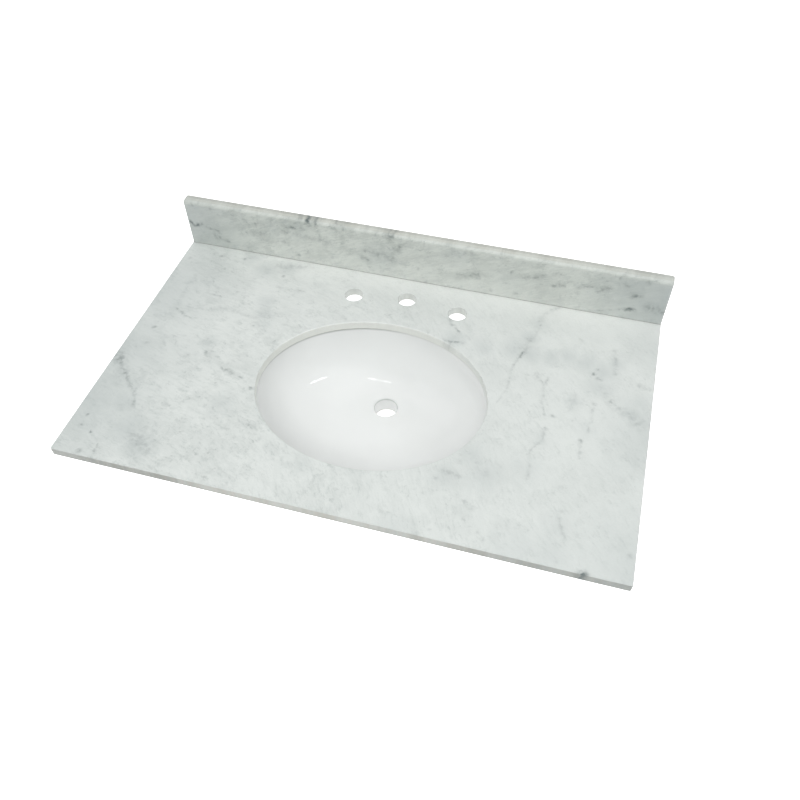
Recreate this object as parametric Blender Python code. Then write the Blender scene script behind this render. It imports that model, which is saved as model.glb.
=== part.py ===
"""A marble vanity top with a loose splash and an oval china bowl fixed under it.

Metres, +Z up. The origin is on the slab's underside, at the middle of its back edge.
+X is the user's right, -Y is towards the user, and the wall is the plane y = 0.
"""
import math

import bmesh
import bpy
from mathutils import Vector

# Slab
top_width = 0.9398
top_depth = 0.5652
top_thickness = 0.0159
top_ease = 0.0015
under_ease = 0.0008
corner_radius = 0.003
bearing_strip = 0.035

# Splash and the bead under it
splash_height = 0.1
splash_thickness = 0.01905
splash_ease = 0.005
splash_joint = 0.0016
bead_inset = 0.0012

# Clearance between pieces that touch, and how far a cutter runs past what it cuts
fit_gap = 0.0003
overrun = 0.004

# Cut-out, its middle so far in front of the slab's
cutout_width = 0.4064
cutout_depth = 0.3302
cutout_forward = 0.0275
cutout_ease = 0.0015

# Faucet holes
faucet_spread = 0.2032
faucet_hole_diameter = 0.035
faucet_hole_ease = 0.0006

# Bowl
stone_overhang = 0.003
rim_joint = 0.002
flange_width = 0.028
flange_thickness = 0.012
flange_ease = 0.002
basin_lip = 0.003
basin_depth = 0.12
basin_fall = 0.006
bowl_wall = 0.009
bowl_fillet = 0.005

# Drain, its middle so far behind the cut-out's
drain_back = 0.081
drain_diameter = 0.0445
drain_lip = 0.004
collar_wall = 0.01275
collar_height = 0.036

# Overflow channel in the bowl's front wall
overflow_drop = 0.024
overflow_width = 0.03
overflow_height = 0.012
duct_width = 0.026
duct_depth = 0.008
duct_cover = 0.005
duct_head = 0.008

# Sealant ring
seal_inset = 0.002
seal_setback = 0.004

# Clips: stud, anchor, clip, washer and wing nut
stud_offset = 0.012
stud_diameter = 0.00635
stud_point = 0.0008
stud_tail = 0.005
insert_length = 0.01
insert_wall = 0.0013
insert_lead = 0.0006
clip_width = 0.019
clip_thickness = 0.0025
clip_bite = 0.011
clip_pad = 0.007
clip_rise = 0.0015
clip_heel = 0.022
clip_bend = 0.002
clip_hole_slack = 0.0006
clip_nose_radius = 0.005
washer_ring = 0.0042
washer_thickness = 0.0012
nut_height = 0.007
nut_base_wall = 0.0028
nut_tip_wall = 0.0011
wing_reach = 0.0115
wing_tip_radius = 0.0045
wing_root_radius = 0.0025
wing_drop = 0.0065
wing_thickness = 0.0024

# Shares and counts
basin_power = 2.3
clip_place_share = 0.7
valve_place_share = 0.593
spout_place_share = 0.501
oval_sides = 64
basin_steps = 10
round_sides = 32
small_sides = 16
ease_steps = 3

# Places worked out from the sizes above
cutout_y = -top_depth / 2 - cutout_forward
faucet_ledge = -cutout_y - cutout_depth / 2
drain_y = cutout_y + drain_back
basin_half_x = cutout_width / 2 + stone_overhang
basin_half_y = cutout_depth / 2 + stone_overhang
rim_top = -rim_joint
flange_under = rim_top - flange_thickness
lip_radius = drain_diameter / 2 + drain_lip
lip_z = rim_top - basin_depth
collar_radius = drain_diameter / 2 + collar_wall
collar_bottom = lip_z - collar_height
stud_radius = stud_diameter / 2
sleeve_bore = stud_radius + fit_gap
insert_radius = sleeve_bore + insert_wall
clip_bore = stud_radius + clip_hole_slack
nut_tip_radius = sleeve_bore + nut_tip_wall
nose_z = flange_under - fit_gap
plate_top = nose_z - clip_rise
plate_under = plate_top - clip_thickness
washer_top = plate_under - fit_gap
nut_top = washer_top - washer_thickness - fit_gap
nut_bottom = nut_top - nut_height
stud_bottom = nut_bottom - stud_tail


def clear_scene():
    """Removes whatever the open file holds."""
    for item in list(bpy.data.objects):
        bpy.data.objects.remove(item, do_unlink=True)


def material(name, colour, roughness, metallic=0.0):
    """A Principled material of one colour."""
    made = bpy.data.materials.new(name)
    made.use_nodes = True
    shader = made.node_tree.nodes["Principled BSDF"]
    shader.inputs["Base Color"].default_value = (*colour, 1.0)
    shader.inputs["Roughness"].default_value = roughness
    shader.inputs["Metallic"].default_value = metallic
    return made


def add_piece(name, mesh, finish=None, parent=None, place=(0.0, 0.0, 0.0)):
    """Links a mesh as a named object, placed under its parent if it has one."""
    piece = bpy.data.objects.new(name, mesh)
    bpy.context.scene.collection.objects.link(piece)
    piece.location = place
    piece.parent = parent
    if finish is not None and not mesh.materials:
        mesh.materials.append(finish)
    return piece


def add_guide(name, mesh, parent=None, place=(0.0, 0.0, 0.0)):
    """A cutter or a filler for a Boolean, left out of the model."""
    guide = add_piece(name, mesh, None, parent, place)
    guide.hide_render = True
    guide.display_type = "WIRE"
    return guide


def combine(piece, guide, operation="DIFFERENCE"):
    """Cuts a piece with a guide, or joins the guide's volume to it."""
    change = piece.modifiers.new(guide.name, "BOOLEAN")
    change.operation = operation
    change.solver = "EXACT"
    change.object = guide


def shade(mesh, angle=40.0):
    """Smooth shading with the true corners kept sharp."""
    mesh.shade_smooth()
    mesh.set_sharp_from_angle(angle=math.radians(angle))
    return mesh


def finished(shape, name):
    """Turns a bmesh into a mesh with its faces pointing out."""
    bmesh.ops.recalc_face_normals(shape, faces=shape.faces[:])
    mesh = bpy.data.meshes.new(name)
    shape.to_mesh(mesh)
    shape.free()
    return shade(mesh)


def ring_mesh(name, rings, closed=False):
    """Skins a stack of equal rings. A closed stack joins its last ring to its first."""
    shape = bmesh.new()
    rows = [[shape.verts.new(point) for point in ring] for ring in rings]
    pairs = list(zip(rows, rows[1:]))
    if closed:
        pairs.append((rows[-1], rows[0]))
    else:
        shape.faces.new(rows[0])
        shape.faces.new(rows[-1])
    for low, high in pairs:
        for i, corner in enumerate(low):
            j = (i + 1) % len(low)
            shape.faces.new((corner, low[j], high[j], high[i]))
    return finished(shape, name)


def oval(half_x, half_y, middle_y, z, sides=oval_sides):
    """One level ring, an ellipse."""
    turns = [2 * math.pi * k / sides for k in range(sides)]
    return [Vector((half_x * math.cos(turn), middle_y + half_y * math.sin(turn), z)) for turn in turns]


def turned(name, profile, sides=small_sides, closed=True):
    """A round piece on the Z axis from (radius, z) pairs."""
    rings = [oval(radius, radius, 0.0, z, sides) for radius, z in profile]
    return ring_mesh(name, rings, closed)


def quarter(radius, steps=ease_steps):
    """Points of a quarter round as (rise, inset) pairs, from its foot to its crown."""
    turns = [math.pi / 2 * k / steps for k in range(1, steps + 1)]
    return [(radius * math.sin(turn), radius * (1 - math.cos(turn))) for turn in turns]


def block(low, high):
    """A bmesh box between two corners."""
    shape = bmesh.new()
    bmesh.ops.create_cube(shape, size=1.0)
    for vert in shape.verts:
        vert.co = Vector([far if side > 0 else close for close, far, side in zip(low, high, vert.co)])
    return shape


def round_edges(shape, chosen, radius, steps):
    """Rounds the edges that a test on their two ends picks out."""
    edges = [edge for edge in shape.edges if chosen(*(vert.co for vert in edge.verts))]
    bmesh.ops.bevel(shape, geom=edges, offset=radius, segments=steps, profile=0.5, affect="EDGES")


def split_faces(shape, point, normal):
    """Divides the faces along a plane without changing the shape."""
    everything = shape.verts[:] + shape.edges[:] + shape.faces[:]
    bmesh.ops.bisect_plane(shape, geom=everything, plane_co=point, plane_no=normal)


def baked(piece):
    """The mesh of a piece with its Booleans made real, for pieces that come more than once."""
    bpy.context.view_layer.update()
    seen = piece.evaluated_get(bpy.context.evaluated_depsgraph_get())
    mesh = bpy.data.meshes.new_from_object(seen)
    guides = [change.object for change in piece.modifiers]
    for guide in guides:
        bpy.data.objects.remove(guide, do_unlink=True)
    bpy.data.objects.remove(piece, do_unlink=True)
    return shade(mesh)


# The slab

def near(value, target):
    """Whether a coordinate lies on a plane of the part."""
    return abs(value - target) < fit_gap / 3


def slab_blank():
    """The sawn and polished slab, with its faces divided along the bearing strips."""
    half = top_width / 2
    shape = block((-half, -top_depth, 0.0), (half, 0.0, top_thickness))
    round_edges(shape, lambda a, b: near(a.y, -top_depth) and near(a.x, b.x) and near(a.y, b.y),
                corner_radius, ease_steps)
    for level, ease, steps in ((top_thickness, top_ease, ease_steps), (0.0, under_ease, 1)):
        round_edges(shape, lambda a, b: near(a.z, level) and near(b.z, level)
                    and not (near(a.y, 0.0) and near(b.y, 0.0)), ease, steps)
    for x in (bearing_strip - half, half - bearing_strip):
        split_faces(shape, (x, 0.0, 0.0), (1.0, 0.0, 0.0))
    for y in (-splash_thickness, -bearing_strip, bearing_strip - top_depth):
        split_faces(shape, (0.0, y, 0.0), (0.0, 1.0, 0.0))
    return finished(shape, "marble_top")


def eased_bore(name, half_x, half_y, middle_y, ease, sides):
    """A cutter for a hole right through the slab, widening at its eased top edge."""
    rings = [oval(half_x, half_y, middle_y, -overrun, sides),
             oval(half_x, half_y, middle_y, top_thickness - ease, sides)]
    for rise, inset in quarter(ease):
        z = top_thickness - ease + rise
        rings.append(oval(half_x + inset, half_y + inset, middle_y, z, sides))
    rings.append(oval(half_x + ease, half_y + ease, middle_y, top_thickness + overrun, sides))
    return ring_mesh(name, rings)


def marble_top(stone, places):
    """The slab with its cut-out, faucet holes and the blind holes for the anchors."""
    slab = add_piece("marble_top", slab_blank(), stone)
    opening = eased_bore("cutout_cutter", cutout_width / 2, cutout_depth / 2, cutout_y,
                         cutout_ease, oval_sides)
    combine(slab, add_guide("cutout_cutter", opening))
    bore = eased_bore("faucet_cutter", faucet_hole_diameter / 2, faucet_hole_diameter / 2, 0.0,
                      faucet_hole_ease, round_sides)
    valve = faucet_spread / 2
    for x, share in ((-valve, valve_place_share), (0.0, spout_place_share), (valve, valve_place_share)):
        combine(slab, add_guide("faucet_cutter", bore, None, (x, -share * faucet_ledge, 0.0)))
    radius, depth = insert_radius + fit_gap, insert_length + 2 * fit_gap
    blind = turned("anchor_cutter", [(radius, -overrun), (radius, depth)], closed=False)
    for place in places.values():
        combine(slab, add_guide("anchor_cutter", blind, None, place.location))


# The splash

def backsplash(stone):
    """The loose splash, its front and end edges eased where they show."""
    half = top_width / 2
    foot = top_thickness + splash_joint
    shape = block((-half, -splash_thickness, foot), (half, 0.0, foot + splash_height))
    round_edges(shape, lambda a, b: near(a.z, foot + splash_height) and near(b.z, a.z)
                and not (near(a.y, 0.0) and near(b.y, 0.0))
                or near(a.y, -splash_thickness) and near(a.x, b.x) and near(b.y, a.y),
                splash_ease, ease_steps)
    add_piece("backsplash", finished(shape, "backsplash"), stone)


def backsplash_sealant(silicone):
    """The bead that beds the splash on the slab."""
    half = top_width / 2 - bead_inset
    low = (-half, bead_inset - splash_thickness, top_thickness + fit_gap)
    high = (half, -bead_inset, top_thickness + splash_joint - fit_gap)
    add_piece("backsplash_sealant", finished(block(low, high), "backsplash_sealant"), silicone)


# The bowl

def basin_section(turn):
    """The basin's wall at one turn of its profile, from 0 at the rim to a quarter at the drain.

    The profile is u ** basin_power + v ** basin_power = 1. The oval shrinks with u from the rim
    to the drain's lip while its middle moves to the drain, and v is the share of the depth.
    Returns the half sizes, the middle, the height and the outward normal.
    """
    u = max(math.cos(turn), 0.0) ** (2 / basin_power)
    v = math.sin(turn) ** (2 / basin_power)
    half_x = lip_radius + (basin_half_x - lip_radius) * u
    half_y = lip_radius + (basin_half_y - lip_radius) * u
    middle = drain_y + (cutout_y - drain_y) * u
    z = rim_top - (basin_depth - basin_fall) * v - basin_fall * (1 - u)
    out = u ** (basin_power - 1) / basin_half_x
    down = v ** (basin_power - 1) / basin_depth
    size = math.hypot(out, down)
    return half_x, half_y, middle, z, out / size, down / size


def basin_ring(turn, wall=0.0):
    """A ring of the basin's inner surface, or of the surface a wall's thickness outside it."""
    half_x, half_y, middle, z, out, down = basin_section(turn)
    return oval(half_x + wall * out, half_y + wall * out, middle, z - wall * down)


def rim_ring(reach, z):
    """A ring of the flange, so far outside the basin's opening."""
    return oval(basin_half_x + reach, basin_half_y + reach, cutout_y, z)


def drain_ring(radius, z):
    """A round ring about the drain."""
    return oval(radius, radius, drain_y, z)


def shell_shows(turn):
    """Whether the outer wall at a turn lies under the flange's fillet and outside the collar's."""
    half_x, half_y, middle, z, out, down = basin_section(turn)
    clear_of_flange = z - bowl_wall * down < flange_under - bowl_fillet
    return clear_of_flange and half_y + bowl_wall * out > collar_radius + bowl_fillet


def bowl_rings():
    """The bowl's skin as rings: down the basin, through the drain and back up the outside."""
    turns = [math.pi / 2 * k / basin_steps for k in range(1, basin_steps + 1)]
    rings = [rim_ring(inset, rim_top - basin_lip + rise) for rise, inset in reversed(quarter(basin_lip))]
    rings.append(rim_ring(0.0, rim_top - basin_lip))
    rings += [basin_ring(turn) for turn in turns]
    bore = drain_diameter / 2
    for rise, inset in reversed(quarter(drain_lip)[:-1]):
        rings.append(drain_ring(bore + inset, lip_z - drain_lip + rise))
    rings.append(drain_ring(bore, lip_z - drain_lip))
    rings.append(drain_ring(bore, collar_bottom))
    rings.append(drain_ring(collar_radius, collar_bottom))
    outside = [basin_ring(turn, bowl_wall) for turn in turns if shell_shows(turn)]
    floor = lip_z - bowl_wall
    rings.append(drain_ring(collar_radius, floor - bowl_fillet))
    rings.append(drain_ring(collar_radius + bowl_fillet, floor))
    rings += reversed(outside)
    rings.append(rim_ring(bowl_wall, flange_under - bowl_fillet))
    for rise, inset in quarter(bowl_fillet):
        rings.append(rim_ring(bowl_wall + inset, flange_under - bowl_fillet + rise))
    rings.append(rim_ring(flange_width - flange_ease, flange_under))
    rings.append(rim_ring(flange_width, flange_under + flange_ease))
    rings.append(rim_ring(flange_width, rim_top - flange_ease))
    rings.append(rim_ring(flange_width - flange_ease, rim_top))
    return rings


def front_wall(turn, depth):
    """A point of the bowl's front centre line, so deep behind the basin's surface."""
    half_x, half_y, middle, z, out, down = basin_section(turn)
    return Vector((0.0, middle - half_y - depth * out, z - depth * down)), Vector((0.0, -out, -down))


def swept_box(name, stations, width, depth, chamfer):
    """A chamfered bar through stations, each a middle point and its direction outwards."""
    rings = []
    for middle, outward in stations:
        ring = []
        for side, reach in ((1, 1), (-1, 1), (-1, -1), (1, -1)):
            wide = Vector((side * width / 2, 0.0, 0.0))
            deep = outward * (reach * depth / 2)
            off_wide = Vector((side * chamfer, 0.0, 0.0))
            off_deep = outward * (reach * chamfer)
            pair = [middle + wide + deep - off_deep, middle + wide + deep - off_wide]
            ring += pair if side * reach > 0 else pair[::-1]
        rings.append(ring)
    return ring_mesh(name, rings)


def overflow_turn(drop):
    """The turn of the profile that lies so far under the rim."""
    share = min(drop / basin_depth, 1.0)
    return math.asin(share ** (basin_power / 2))


def overflow_path(depth, first_drop, last_y):
    """Stations from under the rim down the front wall and in under the floor to the drain."""
    start = overflow_turn(first_drop)
    turns = [start + (math.pi / 2 - start) * k / basin_steps for k in range(basin_steps + 1)]
    stations = [front_wall(turn, depth) for turn in turns]
    stations[-1] = (Vector((0.0, last_y, stations[-1][0].z)), stations[-1][1])
    return stations


def sink_bowl(china):
    """The glazed bowl: basin, flange, drain collar and the overflow channel in its front wall."""
    bowl = add_piece("sink_bowl", ring_mesh("sink_bowl", bowl_rings(), closed=True), china)
    cover = 2 * duct_cover + duct_depth
    jacket_depth = cover - duct_cover / 2
    jacket_middle = cover - jacket_depth / 2
    path = overflow_path(jacket_middle, flange_thickness / 2, drain_y - lip_radius - drain_lip)
    jacket = swept_box("overflow_jacket", path, duct_width + 2 * duct_cover, jacket_depth, duct_cover)
    combine(bowl, add_guide("overflow_jacket", jacket), "UNION")
    duct_middle = duct_cover + duct_depth / 2
    path = overflow_path(duct_middle, overflow_drop - duct_head, drain_y)
    duct = swept_box("overflow_duct", path, duct_width, duct_depth, duct_depth / 4)
    combine(bowl, add_guide("overflow_duct", duct))
    turn = overflow_turn(overflow_drop)
    stations = [front_wall(turn, -overrun), front_wall(turn, duct_middle)]
    rows = [(middle, Vector((0.0, -outward.z, outward.y))) for middle, outward in stations]
    slot = swept_box("overflow_cutter", rows, overflow_width, overflow_height, overflow_height / 3)
    combine(bowl, add_guide("overflow_cutter", slot))


def rim_sealant(silicone):
    """The silicone ring between the flange and the slab's underside."""
    inner, outer = seal_inset + basin_lip, flange_width - seal_setback
    corners = ((inner, -fit_gap), (inner, rim_top + fit_gap), (outer, rim_top + fit_gap), (outer, -fit_gap))
    rings = [rim_ring(reach, z) for reach, z in corners]
    add_piece("rim_sealant", ring_mesh("rim_sealant", rings, closed=True), silicone)


# The clips that hold the bowl up

def clip_places():
    """An empty on each stud's axis at the slab's underside, its X axis pointing away from the bowl."""
    half_x, half_y = basin_half_x + flange_width, basin_half_y + flange_width
    across = clip_place_share
    along = math.sqrt(1 - across ** 2)
    places = {}
    for side_y, end in ((-1, "front"), (1, "back")):
        for side_x, hand in ((-1, "left"), (1, "right")):
            edge = Vector((side_x * across * half_x, cutout_y + side_y * along * half_y, 0.0))
            away = Vector((side_x * across / half_x, side_y * along / half_y, 0.0)).normalized()
            place = bpy.data.objects.new(f"clip_axis_{end}_{hand}", None)
            bpy.context.scene.collection.objects.link(place)
            place.location = edge + away * stud_offset
            place.rotation_euler.z = math.atan2(away.y, away.x)
            places[f"{end}_{hand}"] = place
    return places


def anchor_insert_mesh():
    """A brass sleeve with a tapered lead."""
    bore, outer = sleeve_bore, insert_radius
    return turned("anchor_insert", [(bore, 0.0), (outer, 0.0), (outer, insert_length - insert_lead),
                                    (outer - insert_lead, insert_length), (bore, insert_length)])


def clip_stud_mesh():
    """The stud, chamfered at both ends, from inside the sleeve to below the nut."""
    top, point = insert_length - fit_gap, stud_point
    return turned("clip_stud", [(stud_radius - point, stud_bottom), (stud_radius, stud_bottom + point),
                                (stud_radius, top - point), (stud_radius - point, top)], closed=False)


def clip_outline():
    """The clip's side view as (reach, z) points: pad, plate and the heel bent up to the stone."""
    tip = -(stud_offset + clip_bite)
    heel_in = clip_heel - clip_thickness
    points = [(tip, nose_z), (tip + clip_pad, nose_z), (tip + clip_pad + clip_rise, plate_top)]
    points.append((heel_in - clip_bend, plate_top))
    points += [(heel_in - clip_bend + rise, plate_top + inset) for rise, inset in quarter(clip_bend)]
    points += [(heel_in, -fit_gap), (clip_heel, -fit_gap)]
    outer = clip_bend + clip_thickness
    points += [(clip_heel, plate_under + outer)]
    points += [(clip_heel - inset, plate_under + outer - rise) for rise, inset in quarter(outer)]
    points += [(tip + clip_pad + clip_rise, plate_under), (tip + clip_pad, nose_z - clip_thickness)]
    points.append((tip, nose_z - clip_thickness))
    return points


def sink_clip_mesh():
    """The pressed clip: its side view across its width, nose corners rounded, one hole."""
    half = clip_width / 2
    rings = [[Vector((x, y, z)) for x, z in clip_outline()] for y in (-half, half)]
    shape = bmesh.new()
    shape.from_mesh(ring_mesh("sink_clip", rings))
    tip = -(stud_offset + clip_bite)
    round_edges(shape, lambda a, b: near(a.x, tip) and near(b.x, tip) and near(a.y, b.y),
                clip_nose_radius, ease_steps)
    clip = add_piece("sink_clip", finished(shape, "sink_clip"))
    ends = [(clip_bore, plate_under - overrun), (clip_bore, plate_top + overrun)]
    combine(clip, add_guide("stud_hole", turned("stud_hole", ends, closed=False)))
    return baked(clip)


def clip_washer_mesh():
    """A flat washer."""
    low, outer = washer_top - washer_thickness, clip_bore + washer_ring
    section = [(clip_bore, low), (outer, low), (outer, washer_top), (clip_bore, washer_top)]
    return turned("clip_washer", section)


def wing_mesh(side):
    """One wing: a flat ear from the nut's waist out to a round tip."""
    shape = bmesh.new()
    root = (side * nut_tip_radius / 2, nut_top - nut_height / 2, wing_root_radius)
    tip = (side * wing_reach, nut_top - wing_drop, wing_tip_radius)
    for x, z, radius in (root, tip):
        for k in range(small_sides):
            turn = 2 * math.pi * k / small_sides
            for y in (-wing_thickness / 2, wing_thickness / 2):
                shape.verts.new((x + radius * math.cos(turn), y, z + radius * math.sin(turn)))
    bmesh.ops.convex_hull(shape, input=shape.verts[:])
    loose = [vert for vert in shape.verts if not vert.link_faces]
    bmesh.ops.delete(shape, geom=loose, context="VERTS")
    flat = math.radians(1.0)
    bmesh.ops.dissolve_limit(shape, angle_limit=flat, verts=shape.verts[:], edges=shape.edges[:])
    return finished(shape, "wing")


def wing_nut_mesh():
    """The nut: a tapered hub with two wings and a clear bore."""
    bore, base = sleeve_bore, sleeve_bore + nut_base_wall
    hub = turned("nut_hub", [(base, nut_top), (nut_tip_radius, nut_bottom)], closed=False)
    nut = add_piece("wing_nut", hub)
    for side in (-1, 1):
        combine(nut, add_guide("wing", wing_mesh(side)), "UNION")
    hole = turned("nut_bore", [(bore, nut_bottom - overrun), (bore, nut_top + overrun)], closed=False)
    combine(nut, add_guide("nut_bore", hole))
    return baked(nut)


def clip_sets(places, steel, brass):
    """Five pieces on each stud's axis, about which the clip swings and the nut turns."""
    kinds = (("anchor_insert", anchor_insert_mesh(), brass), ("clip_stud", clip_stud_mesh(), steel),
             ("sink_clip", sink_clip_mesh(), steel), ("clip_washer", clip_washer_mesh(), steel),
             ("wing_nut", wing_nut_mesh(), steel))
    for kind, mesh, finish in kinds:
        for corner, place in places.items():
            add_piece(f"{kind}_{corner}", mesh, finish, place)


def build():
    """Puts the whole part together."""
    clear_scene()
    stone = material("marble", (0.68, 0.71, 0.68), 0.25)
    china = material("glazed_china", (0.86, 0.87, 0.86), 0.08)
    silicone = material("silicone", (0.75, 0.75, 0.73), 0.5)
    steel = material("zinc_plated_steel", (0.6, 0.6, 0.58), 0.35, 1.0)
    brass = material("brass", (0.72, 0.55, 0.3), 0.35, 1.0)
    places = clip_places()
    marble_top(stone, places)
    backsplash(stone)
    backsplash_sealant(silicone)
    sink_bowl(china)
    rim_sealant(silicone)
    clip_sets(places, steel, brass)


build()
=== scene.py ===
import math

import bmesh
import bpy
import numpy as np
from mathutils import Matrix, Vector


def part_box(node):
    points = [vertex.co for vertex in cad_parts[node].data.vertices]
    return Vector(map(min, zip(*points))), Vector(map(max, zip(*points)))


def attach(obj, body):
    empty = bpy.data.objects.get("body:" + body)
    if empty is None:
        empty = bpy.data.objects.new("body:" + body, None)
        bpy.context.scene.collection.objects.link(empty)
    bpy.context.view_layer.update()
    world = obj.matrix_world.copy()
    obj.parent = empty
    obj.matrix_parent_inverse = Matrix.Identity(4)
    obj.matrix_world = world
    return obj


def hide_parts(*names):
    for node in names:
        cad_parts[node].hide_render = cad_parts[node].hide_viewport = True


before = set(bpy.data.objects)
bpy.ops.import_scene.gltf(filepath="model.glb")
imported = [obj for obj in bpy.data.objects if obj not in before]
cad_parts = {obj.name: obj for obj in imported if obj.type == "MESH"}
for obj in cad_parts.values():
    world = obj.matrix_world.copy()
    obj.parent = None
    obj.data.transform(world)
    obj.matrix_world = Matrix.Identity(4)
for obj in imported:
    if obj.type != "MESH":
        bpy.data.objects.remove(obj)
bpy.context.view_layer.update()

# The photographer's viewpoint: above the user's right shoulder, looking down at 50 degrees.
# The small shift puts the lens axis where the photograph has it.
sight = bpy.data.objects.new("photo_camera", bpy.data.cameras.new("photo_camera"))
bpy.context.scene.collection.objects.link(sight)
bpy.context.scene.camera = sight
right, down, forward = (
    Vector((0.96276, 0.27008, -0.01264)),
    Vector((0.20023, -0.74364, -0.6379)),
    Vector((-0.18168, 0.61161, -0.77002)),
)
sight.matrix_world = (
    Matrix.Translation((0.30906, -1.16141, 1.05905))
    @ Matrix((right, -down, -forward)).transposed().to_4x4()
)
sight.data.lens, sight.data.sensor_width = 36.06, 36.0
sight.data.shift_x, sight.data.shift_y = -0.00234, 0.00966

# The slab: one sheet of pale grey-green marble, sawn, then polished on its face and front edges.
# Its back edge and underside stay as the saw left them. The splash is a strip of the same stone.


class Wire:
    """A socket of a finish. Sums on wires add their Math nodes, and node() adds any other."""

    def __init__(self, tree, socket=None):
        self.tree, self.socket = tree, socket

    def node(self, kind, settings=(), sockets=(), take=0):
        """A node with its settings made first, then its sockets by name or number."""
        made = self.tree.nodes.new(kind)
        for name, value in dict(settings).items():
            setattr(made, name, value)
        for name, value in dict(sockets).items():
            if isinstance(value, Wire):
                self.tree.links.new(value.socket, made.inputs[name])
            else:
                made.inputs[name].default_value = value
        return Wire(self.tree, made.outputs[take])

    def sum(self, operation, *terms):
        return self.node("ShaderNodeMath", {"operation": operation}, enumerate(terms))

    def vector(self, operation, *terms, take=0, **named):
        sockets = {**dict(enumerate(terms)), **named}
        return self.node("ShaderNodeVectorMath", {"operation": operation}, sockets, take)

    def __add__(self, other):
        return self.sum("ADD", self, other)

    def __sub__(self, other):
        return self.sum("SUBTRACT", self, other)

    def __mul__(self, other):
        return self.sum("MULTIPLY", self, other)

    def __rsub__(self, other):
        return self.sum("SUBTRACT", other, self)

    __radd__, __rmul__ = __add__, __mul__

    def most(self, other):
        return self.sum("MAXIMUM", self, other)

    def rise(self, low, high, bottom=0.0, top=1.0):
        """Climbs smoothly from bottom at low to top at high."""
        ends = {0: self, 1: low, 2: high, 3: bottom, 4: top}
        return self.node("ShaderNodeMapRange", {"interpolation_type": "SMOOTHSTEP"}, ends)

    def tint(self, colour, over):
        """Mixes a colour over this one by a wire or a number."""
        sockets = {0: over, 6: self, 7: colour}
        return self.node("ShaderNodeMix", {"data_type": "RGBA"}, sockets, 2)

    def noise(self, scale, detail=3.0, roughness=0.5, take=0):
        sockets = {"Vector": self, "Scale": scale, "Detail": detail, "Roughness": roughness}
        return self.node("ShaderNodeTexNoise", (), sockets, take)


def tone(red, green, blue):
    """A colour as a screen shows it, from 0 to 255, made linear."""
    share = np.array((red, green, blue)) / 255
    return (*np.where(share < 0.04045, share / 12.92, ((share + 0.055) / 1.055) ** 2.4), 1.0)


def finish(name, **fixed):
    """A new material. Returns it, a wire at its object coordinates, and its shader."""
    made = bpy.data.materials.new(name)
    made.use_nodes = True
    shader = made.node_tree.nodes["Principled BSDF"]
    for socket, value in fixed.items():
        shader.inputs[socket.replace("_", " ")].default_value = value
    place = Wire(made.node_tree).node("ShaderNodeTexCoord", take=3)
    return made, place, shader


def feed(shader, **wires):
    """Links what changes over a surface to its shader."""
    for socket, wire in wires.items():
        wire.tree.links.new(wire.socket, shader.inputs[socket.replace("_", " ")])


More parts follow.
